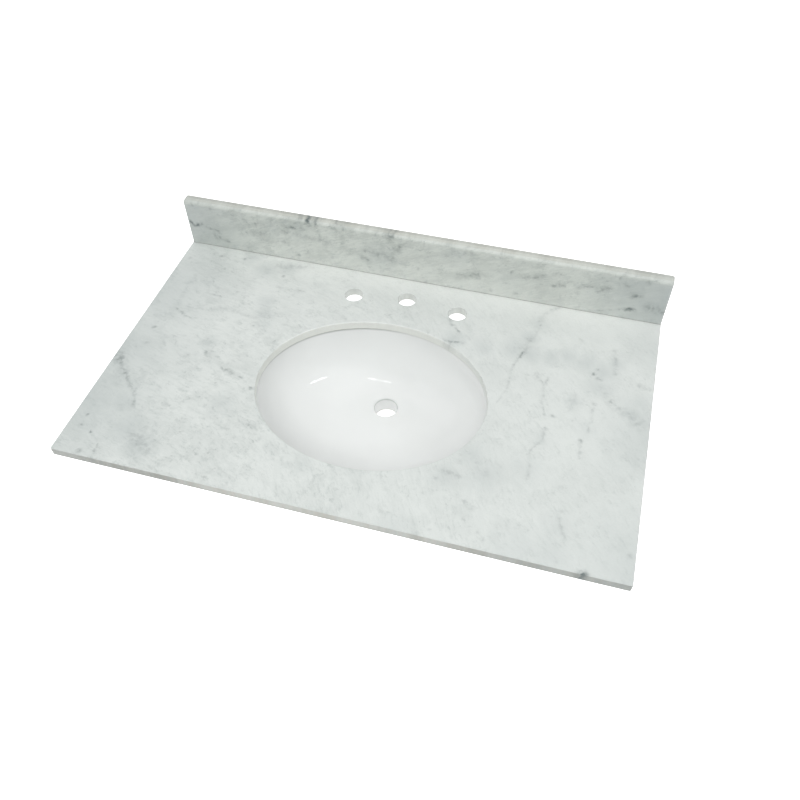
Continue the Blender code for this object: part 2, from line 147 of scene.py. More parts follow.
def marble(
    name, spread, inward, veins, flecks, clouds, painted_glows, lean, pale, deep, mottle, edge_shading, pierced
):
    """Polished marble: clouds and fine streaks along a lean, with the photograph's veins.

    A vein is a capsule about the line between two places, a fleck or a cloud a ball about one.
    Each is full at its middle and fades with distance, on coordinates that noise has pushed about,
    and it runs on through the stone. Clouds thin out high up the splash. A painted glow pales the
    stone along an axis, for the light thrown back onto the slab near the splash and onto the lower
    splash: (its number, where it starts and is full, and how much). The streaks lean from
    one angle on the left to another on the right: (their axis, both angles, how narrow they are).
    An edge face is painted darker than the face, as shade, more so near the stone's ends and
    low down, far from the face: (its tone, where it starts and is full, how much, and how much
    more). The darker ends are partly painted shade and partly the stone's own darker ends. In a
    pierced slab the walls of the openings get no such painted shade; painted light pales the
    cut-out's, more on the left, and a painted highlight runs along the arris behind the cut-out.
    The sawn faces, under and behind, are dull and marked.
    """
    stone, place, shader = finish(name, IOR=1.5)
    level = spread(0, 0)
    depth = place.vector("DOT_PRODUCT", place.vector("SUBTRACT", place, level), inward, take=1)
    flat = place.vector("SUBTRACT", place, place.vector("SCALE", inward, Scale=depth * 0.85))
    bent = flat
    for scale, reach in ((26.0, 0.014), (140.0, 0.0048), (380.0, 0.0026)):
        push = place.noise(scale, 3.0, 0.6, 1)
        push = push.vector("SUBTRACT", push, (0.5, 0.5, 0.5))
        bent = bent.vector("ADD", bent, push.vector("SCALE", push, Scale=reach))

    fleck_tail, vein_tail = 1.6, 2.2

    def ball(gap, reach, strength, tail=1.0):
        strength = strength ** (1 / tail)
        return gap.sum("MULTIPLY_ADD", gap, -strength / (reach * tail / 1000), strength)

    def capsule(where, start, end):
        line = end - start
        gap = where.vector("SUBTRACT", where, start)
        along = where.vector("DOT_PRODUCT", gap, line / line.length_squared, take=1)
        nearest = where.vector("SCALE", line, Scale=along.node("ShaderNodeClamp", (), {0: along}))
        return where.vector("DISTANCE", gap, nearest, take=1)

    vein, cloud = 0.0, 0.0
    for across, along, reach, strength in flecks:
        gap = bent.vector("DISTANCE", bent, spread(across, along), take=1)
        vein = ball(gap, reach, strength, fleck_tail).most(vein)
    for x0, y0, x1, y1, reach, strength in veins:
        gap = capsule(bent, spread(x0, y0), spread(x1, y1))
        vein = ball(gap, reach, strength, vein_tail).most(vein)
    for across, along, reach, strength in clouds:
        gap = bent.vector("DISTANCE", bent, spread(across, along), take=1)
        cloud = ball(gap, reach, strength).most(cloud)
    sides = [place.node("ShaderNodeSeparateXYZ", (), {0: place}, axis) for axis in range(3)]
    across = sides[0]
    axis, left, right, narrow = lean
    swing = across.rise(-0.4, 0.3, math.radians(left), math.radians(right))
    turn = place.vector("SCALE", axis, Scale=swing)
    sockets = {"Vector": bent, "Rotation": turn, "Scale": (1.0, narrow, narrow)}
    turned = place.node("ShaderNodeMapping", {"vector_type": "TEXTURE"}, sockets)
    drift, streak = bent.noise(6.0, 4.0, 0.55), turned.noise(11.0, 8.0, 0.62)
    hair, wisp = turned.noise(24.0, 5.0, 0.6), turned.noise(58.0, 4.0, 0.62)
    grain, speck = place.noise(320.0, 4.0, 0.7), bent.noise(120.0, 2.0, 0.5)
    blot = bent.noise(34.0, 5.0, 0.65)
    thread = (hair - 0.5).sum("ABSOLUTE", hair - 0.5)
    thread = (1.0 - thread.rise(0.0, 0.02)) * drift.rise(0.45, 0.6)
    vein = vein.sum("POWER", vein, 2.0) * speck.rise(0.3, 0.7, 0.25, 1.7)
    busy = across.rise(-0.1, 0.25, *mottle)
    colour = streak.node("ShaderNodeRGB")
    colour.socket.default_value = tone(*pale)
    colour = colour.tint(tone(*deep), streak.rise(0.4, 0.68) * busy)
    colour = colour.tint(tone(*deep), blot.rise(0.48, 0.66) * busy)
    colour = colour.tint(tone(*deep), drift.rise(0.5, 0.7) * 0.3)
    colour = colour.tint(tone(186, 193, 190), thread * busy * 0.6)
    wisps = wisp.rise(0.48, 0.7) * busy * blot.rise(0.4, 0.6, 0.3, 1.0)
    colour = colour.tint(tone(182, 190, 187), wisps)
    colour = colour.tint(tone(240, 243, 240), (1.0 - wisp.rise(0.3, 0.46)) * busy * 0.4)
    specks = speck.rise(0.6, 0.72) * blot.rise(0.48, 0.6) * busy
    colour = colour.tint(tone(160, 168, 165), specks * 0.8)
    # painted light: pales the slab near the splash and the splash low down, where each throws light
    # onto the other
    for axis, start, full, share in painted_glows:
        painted_glow = sides[axis].rise(start, full, 0.0, share) * across.rise(-0.45, -0.2, 0.1, 1.0)
        colour = colour.tint(tone(252, 254, 251), painted_glow)
    # painted shade: the edge faces are coloured darker than the face, mottled by the blots
    edge_shade_tone, start, full, share, more = edge_shading
    edge_shade = depth.rise(start, full) * blot.rise(0.4, 0.62, 0.8, 1.25)
    # darker towards the ends: partly painted shade, partly the stone's own darker ends
    ends = across.rise(-0.3, -0.17, 1.0, 0.0).most(across.rise(0.05, 0.4))
    ends = ends.most(across.rise(0.3, 0.44, 0.0, 1.25))
    if pierced:
        away = across.sum("ABSOLUTE", across)
        wall = sides[1].rise(-0.5605, -0.5595) * (1.0 - away.rise(0.4655, 0.4665))
        # painted light on the walls of the openings: most on the cut-out's, more on its left,
        # little on the faucet holes'
        shade = sides[1].rise(-0.135, -0.12, 0.8, 0.1) * across.rise(0.05, 0.18, 1.0, 0.5)
        colour = colour.tint(tone(238, 240, 234), wall * depth.rise(0.0002, 0.0012) * shade)
        edge_shade = edge_shade * (1.0 - wall)
        # a painted highlight along the arris behind the cut-out, stronger on the left
        cut_middle, cut_half_x, cut_half_y = (0.0, -0.3101, 0.0), 0.2032, 0.1651
        ring = place.vector("SUBTRACT", place, cut_middle)
        ring = ring.vector("MULTIPLY", ring, (1 / cut_half_x, 1 / cut_half_y, 0.0))
        ring = ring.vector("LENGTH", ring, take=1)
        ring = ring.rise(0.99, 0.999) * ring.rise(1.016, 1.008) * sides[1].rise(-0.3, -0.2)
        ring = ring * depth.rise(0.0016, 0.0008) * across.rise(0.0, 0.14, 0.4, 0.12)
        colour = colour.tint(tone(253, 254, 253), ring)
    colour = colour.tint(tone(*edge_shade_tone), edge_shade * share)
    # more painted shade low on the edges, far from the face
    low_shade = depth.rise(0.0105, 0.0135, 0.0, 0.3)
    colour = colour.tint(tone(148, 151, 145), edge_shade * (ends * more + low_shade))
    cloud = cloud * (1.0 - sides[2].rise(0.1085, 0.113) * 0.7)
    colour = colour.tint(tone(186, 194, 193), cloud * (0.7 + blot * 0.6))
    colour = colour.tint(tone(96, 108, 108), vein)
    sawn = (1.0 - sides[2].rise(0.0003, 0.0008)).most(sides[1].rise(-0.0007, -0.0003))
    sockets = {"Vector": place, "Rotation": (0.0, 0.02, 0.06), "Scale": (1.0, 0.012, 0.012)}
    marks = place.node("ShaderNodeMapping", {"vector_type": "TEXTURE"}, sockets)
    marks = marks.noise(5.0, 4.0, 0.6)
    raw = colour.tint(tone(212, 214, 207), 0.6)
    raw = raw.tint(tone(182, 183, 175), marks.rise(0.42, 0.7) * 0.4)
    colour = colour.tint(raw, sawn)
    colour = colour.tint(tone(198, 202, 197), grain.rise(0.35, 0.7) * 0.12)
    feed(shader, Base_Color=colour, Roughness=0.36 + grain * 0.08 + sawn * 0.4)
    rough = grain * 0.3 + marks * sawn
    sockets = {"Strength": 0.3, "Distance": 0.00015, "Height": rough}
    feed(shader, Normal=place.node("ShaderNodeBump", (), sockets))
    return stone


slab_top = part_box("marble_top")[1].z


def on_slab(across, along):
    """A place on the slab's face, from millimetres right of its middle and behind its back edge."""
    return Vector((across / 1000, along / 1000, slab_top))


# veins as (from, to, reach, strength), flecks and clouds as (place, reach, strength), all in mm
slab_veins = (
    # left end: a dark knot, then a broken line that runs down to the right and fades into a cloud
    (-460, -348, -455, -356, 9, 0.6), (-454, -358, -436, -378, 8, 0.2),
    (-430, -384, -410, -404, 4, 0.22), (-410, -404, -389, -425, 4, 0.26),
    (-389, -425, -382, -443, 4, 0.2), (-345, -505, -315, -524, 15, 0.18),
    (-416, -206, -391, -221, 4, 0.2), (-391, -221, -373, -227, 3, 0.26),
    (-266, -327, -251, -332, 4, 0.32), (-251, -332, -218, -346, 2.8, 0.26),
    (-311, -296, -304, -308, 5, 0.26), (-272, -45, -217, -33, 10, 0.12),
    (-368, -157, -350, -156, 3, 0.24), (-254, -103, -240, -103, 3, 0.18),
    (-209, -102, -198, -101, 3, 0.24), (-192, -432, -168, -436, 6, 0.14),
    (-339, -184, -300, -190, 3, 0.14), (-300, -190, -262, -196, 3, 0.2),
    # right half: the hook under the right faucet hole, and lines that run down from the splash
    (91, -104, 98, -115, 4, 0.3), (98, -115, 120, -135, 3, 0.3), (103, -159, 118, -158, 3, 0.56),
    (118, -158, 127, -158, 4, 0.16), (100, -160, 106, -167, 6, 0.2), (281, -21, 272, -30, 4, 0.24),
    (272, -30, 254, -60, 5, 0.07), (254, -84, 246, -120, 5, 0.08), (246, -120, 240, -146, 7, 0.14),
    (240, -152, 234, -165, 4, 0.54), (234, -165, 225, -195, 2.8, 0.22),
    (225, -195, 226, -244, 3, 0.14), (226, -244, 215, -280, 3, 0.14),
    (268, -199, 284, -220, 4, 0.16), (292, -205, 284, -220, 4, 0.28),
    (284, -220, 286, -248, 3, 0.08), (286, -248, 300, -292, 3, 0.1),
    (302, -318, 304, -340, 3, 0.14), (304, -340, 285, -369, 3, 0.2),
    (285, -369, 295, -418, 3, 0.14), (372, -250, 372, -303, 3, 0.14),
    (396, -108, 402, -162, 4, 0.16), (340, -226, 338, -262, 9, 0.07),
    (446, -180, 462, -181, 4, 0.34), (363, -334, 368, -358, 4, 0.14),
    (206, -488, 220, -499, 4, 0.2), (352, -480, 364, -512, 4, 0.14),
    (162, -441, 186, -444, 5, 0.18), (400, -226, 452, -268, 11, 0.14),
)
slab_flecks = (
    (-393, -44, 5, 0.4), (-343, -44, 5, 0.44), (-335, -38, 5, 0.34), (-252, -71, 5, 0.5),
    (-454, -66, 5, 0.34), (-260, -46, 5, 0.3), (-401, -126, 4, 0.3), (-365, -136, 5, 0.24),
    (-150, -127, 4, 0.2), (-150, -150, 3, 0.2), (-185, -226, 4, 0.2), (-434, -264, 5, 0.7),
    (-428, -308, 8, 0.26), (-344, -315, 6, 0.34), (-369, -271, 5, 0.2), (-391, -221, 4, 0.4),
    (-373, -228, 4, 0.4), (-320, -278, 12, 0.2), (-227, -253, 4, 0.24), (-212, -289, 4, 0.3),
    (-306, -303, 4, 0.3), (-200, -357, 5.4, 0.66), (-432, -384, 7, 0.46), (-381, -446, 5, 0.76),
    (-328, -431, 7, 0.24), (-447, -484, 4.4, 0.54), (-445, -508, 4, 0.56), (-422, -517, 4.6, 0.64),
    (-420, -556, 5, 0.76), (-397, -552, 4.4, 0.72), (-337, -485, 5, 0.3), (-245, -523, 6, 0.24),
    (-184, -429, 5, 0.22), (-32, -512, 5, 0.18), (254, -66, 4, 0.34), (257, -76, 4, 0.34),
    (240, -118, 5, 0.34), (281, -21, 5, 0.4), (229, -146, 4, 0.26), (370, -160, 5, 0.44),
    (367, -171, 5, 0.76), (378, -181, 6, 0.6), (384, -196, 6, 0.26), (402, -229, 6, 0.5),
    (390, -213, 5, 0.36), (373, -240, 5, 0.44), (371, -253, 5, 0.5), (333, -98, 6, 0.2),
    (299, -285, 5, 0.42), (313, -283, 5, 0.56), (303, -315, 5, 0.85), (295, -420, 4, 0.3),
    (362, -328, 6, 0.66), (372, -346, 4, 0.2), (184, -416, 6, 0.26), (161, -443, 5, 0.24),
    (153, -456, 5, 0.28), (201, -404, 5, 0.24), (209, -408, 5, 0.26), (228, -430, 7, 0.28),
    (196, -398, 5, 0.22), (77, -487, 5, 0.32), (142, -489, 4, 0.24), (347, -423, 5, 0.24),
    (354, -467, 5, 0.26), (339, -483, 3, 0.24), (462, -519, 5, 0.38), (149, -559, 7, 0.34),
    (166, -549, 4, 0.24), (248, -547, 5, 0.24), (237, -535, 4, 0.22), (315, -552, 4, 0.2),
    (357, -554, 4, 0.2), (449, -372, 6, 0.2), (465, -341, 5, 0.2),
    # on the front face: a black knot on the right
    (398, -566, 10, 0.95),
)
slab_clouds = (
    (-440, -385, 62, 0.5), (-405, -440, 62, 0.6), (-370, -495, 60, 0.6), (-335, -518, 46, 0.6),
    (-455, -340, 34, 0.5), (-256, -150, 26, 0.4), (-246, -180, 26, 0.4), (-236, -205, 24, 0.3),
    (-331, -36, 24, 0.36), (-320, -277, 26, 0.4), (-290, -60, 34, 0.36), (-250, -45, 30, 0.4),
    (-235, -405, 34, 0.34), (-420, -470, 60, 0.4), (-60, -490, 24, 0.24), (112, -152, 28, 0.44),
    (167, -160, 30, 0.34), (222, -148, 34, 0.36), (252, -154, 28, 0.46), (287, -151, 28, 0.44),
    (318, -143, 28, 0.44), (350, -151, 30, 0.5), (380, -165, 38, 0.5), (243, -114, 24, 0.4),
    (254, -74, 22, 0.3), (377, -200, 34, 0.4), (402, -140, 26, 0.4), (446, -222, 28, 0.4),
    (440, -250, 40, 0.44), (226, -432, 44, 0.34), (200, -400, 36, 0.34), (165, -452, 30, 0.3),
    (340, -245, 22, 0.3), (372, -300, 30, 0.2), (300, -340, 24, 0.26), (352, -500, 36, 0.3),
    # the widest clouds, at both ends, darken them: partly the stone's own tone, partly painted
    # shade where the light falls off
    (290, -400, 40, 0.24), (440, -520, 60, 0.3), (-480, -170, 180, 0.6), (-480, -335, 160, 0.66),
    (-475, -450, 170, 0.66), (-378, -320, 110, 0.24), (300, -552, 60, 0.3), (350, -546, 60, 0.36),
    (115, -562, 40, 0.3), (490, -60, 110, 0.3), (490, -300, 130, 0.4), (490, -540, 150, 0.5),
)
# painted light on the slab near the splash, which throws light back onto it: (axis, start, full,
# share)
slab_painted_glows = ((1, -0.3, -0.1, 0.1), (1, -0.14, -0.06, 0.14), (1, -0.085, -0.025, 0.4))
slab_stone = marble(
    "slab_marble", on_slab, Vector((0, 0, -1)), slab_veins, slab_flecks, slab_clouds, slab_painted_glows,
    lean=((0.0, 0.0, 1.0), -20, -50, 0.3), pale=(226, 231, 228), deep=(206, 212, 209),
    mottle=(0.5, 0.26), edge_shading=((193, 192, 182), 0.0004, 0.0018, 0.6, 0.72), pierced=True,
)
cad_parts["marble_top"].data.materials.clear()
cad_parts["marble_top"].data.materials.append(slab_stone)

# The splash: a loose strip of the stone, polished on its face, top and ends, bedded on silicone.
# Its streaks lean the other way, rising to the right.
splash_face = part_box("backsplash")[0].y


def on_splash(across, up):
    """A place on the splash's face, from millimetres right of the middle and above the cabinet."""
    return Vector((across / 1000, splash_face, up / 1000))


splash_veins = (
    (-465, 69, -456, 60, 3.4, 0.66), (-456, 60, -441, 68, 3.4, 0.7), (-430, 60, -404, 53, 3, 0.4),
    (-416, 46, -409, 32, 3.4, 0.4), (-413, 43, -384, 34, 3.4, 0.36), (-260, 96, -225, 98, 5, 0.34),
    (-352, 61, -316, 68, 6, 0.18), (-321, 92, -280, 108, 6, 0.22), (-262, 86, -171, 77, 7, 0.18),
    (-90, 70, -40, 60, 8, 0.22), (-40, 72, -26, 98, 6, 0.26), (-105, 55, -90, 48, 6, 0.2),
    (60, 92, 110, 110, 6, 0.16),
    # right half: short soft streaks that rise to the right
    (87, 49, 125, 62, 9, 0.26), (206, 70, 242, 80, 7, 0.2), (222, 72, 236, 77, 4.6, 0.34),
    (264, 65, 280, 70, 4.6, 0.4), (311, 71, 332, 79, 5, 0.28), (346, 72, 364, 82, 6, 0.36),
    (404, 72, 418, 75, 5, 0.46), (402, 39, 415, 41, 4.6, 0.6), (326, 19, 398, 37, 3, 0.2),
    (440, 52, 470, 46, 9, 0.3),
)
splash_flecks = (
    (-451, 111, 5, 0.4), (-412, 108, 6, 0.32), (-384, 34, 5, 0.3), (-264, 60, 6, 0.6),
    (-238, 32, 6, 0.66), (-346, 96, 5, 0.34), (20, 108, 3.4, 0.5), (6, 47, 5, 0.5),
    (38, 52, 4, 0.36), (186, 78, 5.4, 0.72), (196, 27, 5, 0.36), (149, 29, 5, 0.36),
    (311, 57, 6, 0.4), (392, 95, 6, 0.54), (379, 109, 5, 0.44), (430, 107, 7, 0.56),
    (463, 50, 12, 0.36), (-40, 72, 8, 0.3), (-97, 70, 7, 0.32), (-89, 32, 5, 0.3),
    # where veins cross the top edge
    (-226, 118, 13, 0.4), (-210, 118, 12, 0.8), (-194, 118, 10, 0.7), (-156, 115, 12, 0.46),
    (-140, 117, 12, 0.34), (-98, 118, 7, 0.4), (-72, 116, 9, 0.44), (-46, 114, 13, 0.6),
    (385, 113, 8, 0.26),
)
splash_clouds = (
    (-380, 80, 50, 0.3), (-290, 90, 40, 0.3), (-235, 98, 40, 0.3), (-70, 60, 50, 0.35),
    (80, 100, 40, 0.25), (350, 62, 46, 0.35), (455, 50, 44, 0.5), (-440, 50, 40, 0.3),
    (180, 60, 40, 0.2), (-490, 70, 190, 0.8), (490, 70, 190, 0.95),
)
# painted light low on the splash, where the slab throws light back onto it
splash_painted_glows = ((2, 0.06, 0.02, 0.1), (2, 0.095, 0.06, 0.08))
splash_stone = marble(
    "splash_marble", on_splash, Vector((0, 1, 0)),
    splash_veins, splash_flecks, splash_clouds, splash_painted_glows,
    lean=((0.0, 1.0, 0.0), -24, -24, 0.22), pale=(223, 228, 222), deep=(196, 202, 196),
    mottle=(0.7, 0.55), edge_shading=((200, 200, 189), 0.004, 0.006, 0.45, 0.08), pierced=False,
)
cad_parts["backsplash"].data.materials.clear()
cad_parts["backsplash"].data.materials.append(splash_stone)

# The beads: white silicone from a gun, squeezed flat between the stone and what it holds. One lies
# on the slab under the splash, the other in a ring between the slab and the bowl's flange.


def tune(values, seed):
    """A slow wander between -1 and 1: a sum of sines, each from a start drawn from the seed."""
    draw = np.random.default_rng(seed)
    shares = ((3, 0.3), (7, 0.25), (13, 0.2), (29, 0.15), (61, 0.1))
    return sum(
        share * np.sin(times * values + draw.uniform(0, 2 * np.pi)) for times, share in shares
    )


def skin(name, grid, body, stone, stands_for, looped=True):
    """A piece skinned over a grid of points, rows by columns by 3, whose columns run round.

    Its last row joins its first if it is looped, and otherwise a fan closes each end.
    """
    rows, columns = grid.shape[:2]
    spot = np.arange(rows * columns).reshape(rows, columns)
    here, ahead = (spot, np.roll(spot, -1, 0)) if looped else (spot[:-1], spot[1:])
    faces = np.stack((here, np.roll(here, -1, 1), np.roll(ahead, -1, 1), ahead), -1)
    faces = faces.reshape(-1, 4).tolist()
    points = grid.reshape(-1, 3)
    if not looped:
        ends = [grid[0].mean(0), grid[-1].mean(0)]
        for pole, ring in ((len(points), spot[0][::-1]), (len(points) + 1, spot[-1])):
            faces += [(pole, a, b) for a, b in zip(ring.tolist(), np.roll(ring, -1).tolist())]
        points = np.vstack((points, ends))
    mesh = bpy.data.meshes.new(name)
    mesh.from_pydata(points.tolist(), [], faces)
    mesh.shade_smooth()
    mesh.materials.append(stone)
    piece = bpy.data.objects.new(name, mesh)
    bpy.context.scene.collection.objects.link(piece)
    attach(piece, body)
    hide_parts(*stands_for)
    return piece


def bead_section(reach, high, count=24):
    """A flat bead's section, across and up from its middle: half circles and straight sides."""
    turn = (np.arange(count) + 0.5) * 2 * np.pi / count
    return np.sign(np.cos(turn)) * (reach - high) + high * np.cos(turn), high * np.sin(turn)


def silicone():
    """White silicone painted grey as shade: soft sheen, skinned over, dust in it, a slow waviness.
    """
    made, place, shader = finish("white_silicone", IOR=1.41)
    dust, wave = place.noise(900.0, 3.0, 0.6), place.noise(160.0, 3.0, 0.5)
    colour = place.node("ShaderNodeRGB")
    # painted shade: the white silicone is coloured grey for the shade in the joints where the beads
    # lie
    colour.socket.default_value = tone(178, 180, 174)
    colour = colour.tint(tone(152, 153, 146), wave.rise(0.4, 0.7) * 0.5)
    colour = colour.tint(tone(160, 158, 148), dust.rise(0.62, 0.72) * 0.6)
    feed(shader, Base_Color=colour, Roughness=0.36 + wave * 0.24)
    sockets = {"Strength": 0.4, "Distance": 0.0004, "Height": wave}
    feed(shader, Normal=place.node("ShaderNodeBump", (), sockets))
    return made


sealant = silicone()
low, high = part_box("backsplash_sealant")
run = np.linspace(low.x, high.x, 260)[:, None]
across, up = bead_section((high.y - low.y) / 2, (high.z - low.z) / 2)
squeezed_out = (0.0007 + 0.0002 * tune(run * 9, 3)) * (across < 0)
along, level = (low.y + high.y) / 2 + across - squeezed_out, (low.z + high.z) / 2 + up
bead = np.stack(np.broadcast_arrays(run, along, level), -1)
skin("splash_bead", bead, "top", sealant, ["backsplash_sealant"], looped=False)

# The bowl: vitreous china, slip cast in a plaster mould, with white glaze on what is seen and bare
# below. An overflow channel, a second skin down the front, runs from the slot to the drain.
rim, under, basin_x, basin_y, basin_mid = -0.002, -0.014, 0.2062, 0.1681, -0.3101
drain_mid, drain_bore, drain_ease, collar, foot = -0.2291, 0.02225, 0.004, 0.035, -0.158
basin_deep, basin_fall, fullness, china = 0.12, 0.006, 2.3, 0.009
flange, flange_ease = 0.028, 0.002
# the front, where the overflow is, has its columns closer together
front_columns = 96
front = np.linspace(-100, -80, front_columns, endpoint=False)
spin = np.radians(np.concatenate((front, np.linspace(-80, 260, 200, endpoint=False))))


def oval(half_x, half_y, middle, z):
    """Level rings, a point for each turn, on the ellipse of half sizes half_x and half_y."""
    x, y = half_x * np.cos(spin), middle + half_y * np.sin(spin)
    return np.stack(np.broadcast_arrays(x, y, z + 0 * spin), -1)


def smooth(value, low, high):
    """Climbs smoothly from 0 at low to 1 at high."""
    share = np.clip((value - low) / (high - low), 0, 1)
    return share * share * (3 - 2 * share)


def patch(across, along, half_across, half_along, corner):
    """1 inside a rectangle with round corners, 0 outside, and smooth over 1.5 mm between."""
    past = (np.abs(across) - half_across + corner, np.abs(along) - half_along + corner)
    outside = np.hypot(np.maximum(past[0], 0), np.maximum(past[1], 0))
    inside = np.minimum(np.maximum(*past), 0)
    return 1 - smooth(outside + inside - corner, -0.0009, 0.0006)


def section(turn, wall=0.0):
    """Rings of the basin at turns of its profile, u ** 2.3 + v ** 2.3 = 1, moved out by a wall.

    The oval shrinks with u from the rim to the drain while its middle moves there, and v is the
    depth. The floor falls a further 6 mm on its way to the drain.
    """
    turn = turn[:, None]
    u, v = np.cos(turn) ** (2 / fullness), np.sin(turn) ** (2 / fullness)
    out, down = u ** (fullness - 1) / basin_x, v ** (fullness - 1) / basin_deep
    out, down = out / np.hypot(out, down), down / np.hypot(out, down)
    lip = drain_bore + drain_ease
    half_x, half_y = lip + (basin_x - lip) * u, lip + (basin_y - lip) * u
    middle = drain_mid + (basin_mid - drain_mid) * u
    z = rim - (basin_deep - basin_fall) * v - basin_fall * (1 - u)
    return oval(half_x + wall * out, half_y + wall * out, middle, z - wall * down)


def turn_at(drop):
    """The turn of the profile so far under the rim."""
    return np.arcsin((drop / basin_deep) ** (fullness / 2))


def bulge(points):
    """How far the skin over the overflow channel stands out, down the middle of the front."""
    return china * (1 - smooth(np.abs(points[..., 0]), 0.0125, 0.018)) * (np.sin(spin) < 0)


def bowl_grid():
    """The bowl's skin: over the rim, down the basin, through the drain, and back up the outside.

    The slot pushes the basin's wall out by 12 mm, and the channel's mouth pushes the drain's
    wall forward by 11 mm.
    """
    slot_level, slot_half, slot_high, slot_corner, slot_deep = -0.026, 0.015, 0.006, 0.004, 0.012
    mouth_level, mouth_half, mouth_high = -0.131, 0.013, 0.004
    mouth_corner, mouth_deep = 0.002, 0.011
    rim_ease, fillet, foot_ease, bore_ease = 0.003, 0.005, 0.002, 0.0015
    bend, lip = np.radians(np.linspace(0, 90, 8))[:, None], drain_bore + drain_ease
    reach = rim_ease - rim_ease * np.sin(bend)
    level = rim - rim_ease + rim_ease * np.cos(bend)
    rows = [oval(basin_x + reach, basin_y + reach, basin_mid, level)]
    past_slot = np.linspace(turn_at(0.036), np.pi / 2 - 0.02, 76)
    turns = np.concatenate(
        (turn_at(np.linspace(0.005, 0.013, 5)), turn_at(np.linspace(0.0145, 0.0335, 36)), past_slot)
    )
    wall = section(turns)
    middle = wall[:, front_columns // 2]
    length = np.concatenate(([0], np.cumsum(np.linalg.norm(np.diff(middle, axis=0), axis=1))))
    slot = np.interp(slot_level, middle[::-1, 2], length[::-1])
    push = patch(wall[..., 0], length[:, None] - slot, slot_half, slot_high, slot_corner)
    rows.append(section(turns, slot_deep * push * (np.sin(spin) < 0)))
    lip_top = rim - basin_deep
    radius, z = lip - drain_ease * np.sin(bend), lip_top - drain_ease + drain_ease * np.cos(bend)
    rows.append(oval(radius, radius, drain_mid, z))
    bore = np.linspace(lip_top - drain_ease - 0.0003, foot + bore_ease, 50)[:, None]
    bore = oval(drain_bore, drain_bore, drain_mid, bore)
    mouth = patch(bore[..., 0], bore[..., 2] - mouth_level, mouth_half, mouth_high, mouth_corner)
    bore[..., 1] -= mouth_deep * mouth * (np.sin(spin) < 0)
    rows.append(bore)
    ends = ((drain_bore + bore_ease, bore_ease, 180), (collar - foot_ease, foot_ease, 270))
    for outer, ease, swing in ends:
        bend = np.radians(swing + np.linspace(10, 80, 5))[:, None]
        radius = outer + ease * np.cos(bend)
        rows.append(oval(radius, radius, drain_mid, foot + ease + ease * np.sin(bend)))
    ring = oval(collar, collar, drain_mid, foot)
    floor = lip_top - china - bulge(ring)
    climb = np.linspace(0, 1, 10)[:, None]
    start = foot + foot_ease
    rows.append(oval(collar, collar, drain_mid, start + (floor - fillet - start) * climb))
    bend = np.radians(np.linspace(10, 90, 8))[:, None]
    radius = collar + fillet - fillet * np.cos(bend)
    rows.append(oval(radius, radius, drain_mid, floor - fillet + fillet * np.sin(bend)))
    turns = np.linspace(np.arccos(0.25 ** (fullness / 2)), turn_at(0.0175), 70)
    shell = section(turns)
    shell = section(turns, china + bulge(shell))
    climb = np.linspace(0, 1, 8)[1:-1, None, None]
    rows.append(rows[-1][-1] * (1 - climb) + shell[0] * climb)
    rows.append(shell)
    reach = china + bulge(shell[-1]) + fillet * (1 - np.cos(bend))
    level = under - fillet + fillet * np.sin(bend)
    rows.append(oval(basin_x + reach, basin_y + reach, basin_mid, level))
    for z, swing in ((under + flange_ease, 270), (rim - flange_ease, 0)):
        bend = np.radians(swing + np.linspace(0, 90, 6))[:, None]
        reach, level = flange - flange_ease + flange_ease * np.cos(bend), flange_ease * np.sin(bend)
        rows.append(oval(basin_x + reach, basin_y + reach, basin_mid, z + level))
    reach = np.linspace(0.022, 0.006, 5)[:, None]
    rows.append(oval(basin_x + reach, basin_y + reach, basin_mid, rim + 0 * reach))
    return np.concatenate(rows)


def glazed_china():
    """White glaze with a faint orange peel, over a creamier body that is bare and dull outside.

    It is shaded under the stone's overhang, more on the left, and in a ring under the drain's lip.
    """
    made, place, shader = finish("white_china", IOR=1.52)
    cover = place.node("ShaderNodeAttribute", {"attribute_name": "glaze"}, (), 2)
    cloud, peel = place.noise(7.0, 3.0, 0.5), place.noise(150.0, 2.0, 0.5)
    pits = place.noise(800.0, 3.0, 0.6)
    cover = (cover + (place.noise(60.0, 4.0, 0.6) - 0.5) * 0.3).rise(0.35, 0.65)
    colour = place.node("ShaderNodeRGB")
    colour.socket.default_value = tone(242, 244, 243)
    colour = colour.tint(tone(239, 241, 240), cloud.rise(0.4, 0.6) * 0.8)
    level = place.node("ShaderNodeSeparateXYZ", (), {0: place}, 2)
    side = place.node("ShaderNodeSeparateXYZ", (), {0: place})
    overhung = level.rise(-0.009, -0.003) * side.rise(-0.04, 0.05, 0.5, 0.1) * cover
    colour = colour.tint(tone(150, 154, 150), overhung)
    shade = level.rise(-0.1240, -0.1252) * level.rise(-0.1295, -0.1275) * cover
    colour = colour.tint(tone(200, 206, 202), shade * 0.8)
    bare = colour.tint(tone(222, 217, 205), 0.85)
    bare = bare.tint(tone(176, 168, 152), pits.rise(0.62, 0.72) * 0.5)
    feed(shader, Base_Color=bare.tint(colour, cover))
    feed(shader, Roughness=0.62 + cloud * 0.1 - cover * 0.62)
    height = pits * (1.0 - cover) * 0.4 + peel * 0.6 + cover * 0.6
    sockets = {"Strength": 0.22, "Distance": 0.0003, "Height": height}
    feed(shader, Normal=place.node("ShaderNodeBump", (), sockets))
    return made


grid = bowl_grid()
bowl = skin("bowl", grid, "top", glazed_china(), ["sink_bowl"])
# the glaze covers the rim's rounding, the basin, the drain's lip and all but the foot of its bore
rounding_rows, basin_rows, bore_rows = 8, 117, 48
glazed = np.arange(len(grid)) < 2 * rounding_rows + basin_rows + bore_rows
glaze = glazed[:, None] * np.ones(len(spin))
bowl.data.attributes.new("glaze", "FLOAT", "POINT").data.foreach_set("value", glaze.ravel())
